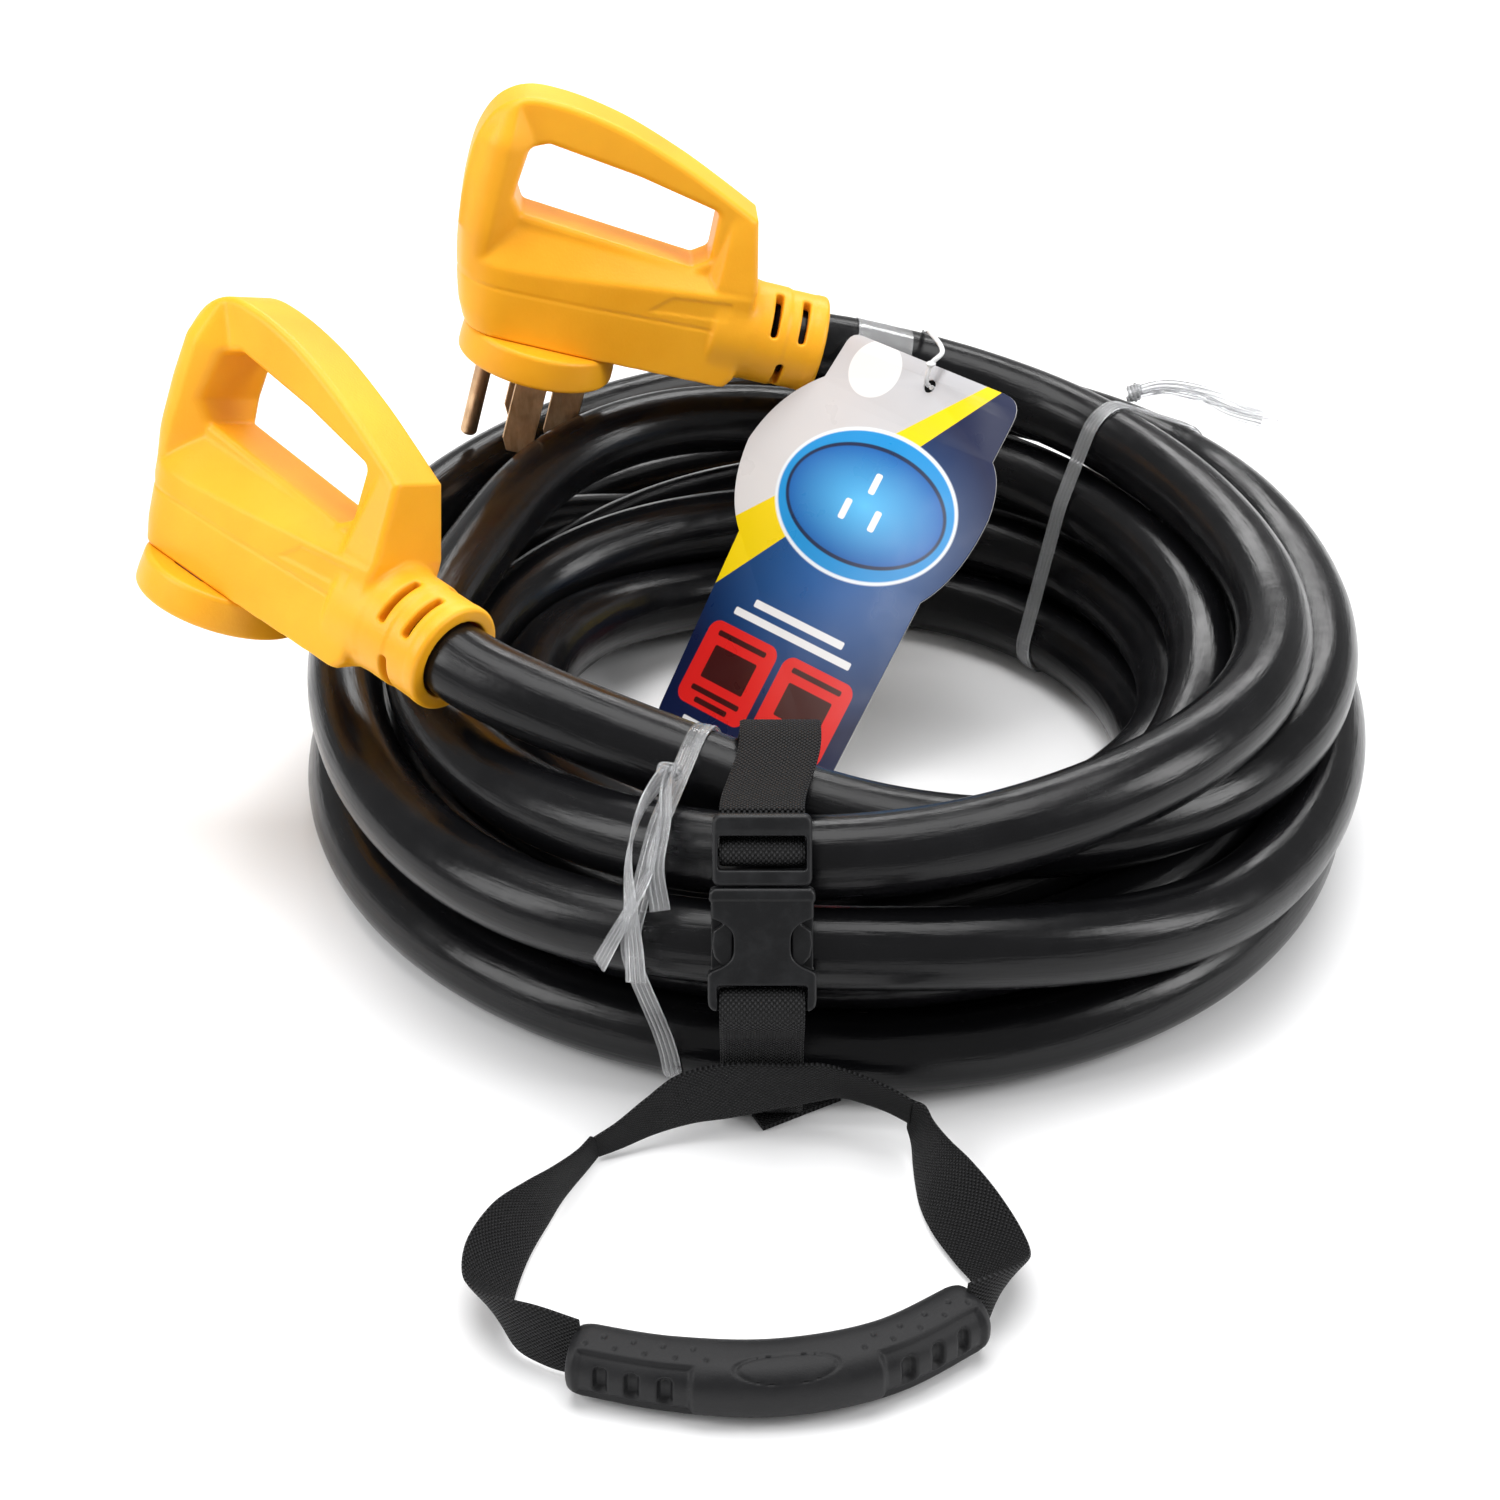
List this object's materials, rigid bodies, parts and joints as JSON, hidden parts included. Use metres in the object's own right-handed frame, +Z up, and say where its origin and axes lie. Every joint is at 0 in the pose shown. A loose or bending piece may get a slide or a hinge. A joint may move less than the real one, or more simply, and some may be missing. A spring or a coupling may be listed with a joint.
{
  "type": "shore power cord",
  "caption": "Coiled heavy shore power cord with a handled pin plug and a handled socket connector, held by plastic ties and a buckled carry strap with a rubber grip, and a hang tag.",
  "frame": {"origin": "middle of the underside of the whole object as it lies coiled", "axes": "+Z up, the coil lying flat; the carry handle lies towards -Y and the plug and connector are on the -X side"},
  "size_m": [0.4436, 0.5272, 0.2193],
  "materials": {
    "yellow_vinyl": "satin moulded vinyl",
    "bronze_blade": "drawn brass, slightly toned",
    "copper_contact": "plain",
    "core_black": "plain",
    "core_red": "plain",
    "core_white": "plain",
    "core_green": "plain",
    "jacket": "glossy black vinyl jacket",
    "clear_vinyl": "clear, ribbed",
    "buckle_plastic": "fine matte texture",
    "grip_rubber": "satin",
    "printed_card": "glossy printed card",
    "webbing": "woven polypropylene"
  },
  "bodies": {
    "coiled_cord": {"plug_shell": "yellow_vinyl", "plug_face_block": "yellow_vinyl", "plug_hot_left_blade": "bronze_blade", "plug_hot_right_blade": "bronze_blade", "plug_neutral_blade": "bronze_blade", "plug_ground_pin": "bronze_blade", "plug_black_conductor": "core_black", "plug_red_conductor": "core_red", "plug_white_conductor": "core_white", "plug_green_conductor": "core_green", "connector_shell": "yellow_vinyl", "connector_face_block": "yellow_vinyl", "connector_hot_left_contact": "copper_contact", "connector_hot_right_contact": "copper_contact", "connector_neutral_contact": "copper_contact", "connector_ground_contact": "copper_contact", "connector_black_conductor": "core_black", "connector_red_conductor": "core_red", "connector_white_conductor": "core_white", "connector_green_conductor": "core_green", "cord_coil": "jacket", "cord_plug_lead": "jacket", "cord_connector_lead": "jacket", "cord_wrap_band": "clear_vinyl", "tie_front": "clear_vinyl", "tie_back": "clear_vinyl", "strap_run": "webbing", "strap_tail": "webbing", "buckle_socket": "buckle_plastic", "handle_band": "webbing", "tag_loop": "clear_vinyl"},
    "buckle_tongue": {"buckle_tongue": "buckle_plastic", "strap_tongue_loop": "webbing"},
    "left_prong": {"buckle_prong_left": "buckle_plastic"},
    "right_prong": {"buckle_prong_right": "buckle_plastic"},
    "carry_handle": {"handle_grip": "grip_rubber", "handle_webbing_left": "webbing", "handle_webbing_right": "webbing"},
    "hang_tag": {"hang_tag": "printed_card"}
  },
  "joints": [
    {"name": "tongue_slide", "type": "slide", "parent": "coiled_cord", "child": "buckle_tongue", "axis": [0, 0.509, 0.8607], "range_m": [0, 0.026]},
    {"name": "left_prong_flex", "type": "hinge", "parent": "buckle_tongue", "child": "left_prong", "pos_m": [-0.0136, -0.12903, 0.08698], "axis": [0, 0.8607, -0.509], "range_deg": [-6, 0], "stiffness_Nm_per_rad": 0.05},
    {"name": "right_prong_flex", "type": "hinge", "parent": "buckle_tongue", "child": "right_prong", "pos_m": [0.0062, -0.12903, 0.08698], "axis": [0, 0.8607, -0.509], "range_deg": [0, 6], "stiffness_Nm_per_rad": 0.05},
    {"name": "handle_lift", "type": "hinge", "parent": "coiled_cord", "child": "carry_handle", "pos_m": [-0.0068, -0.15029, 0.00905], "axis": [-0.9948, -0.0546, -0.0859], "range_deg": [0, 90]},
    {"name": "tag_swing", "type": "hinge", "parent": "coiled_cord", "child": "hang_tag", "pos_m": [0.06039, 0.14211, 0.12117], "axis": [-0.7146, 0.6996, 0], "range_deg": [0, 35]}
  ]
}
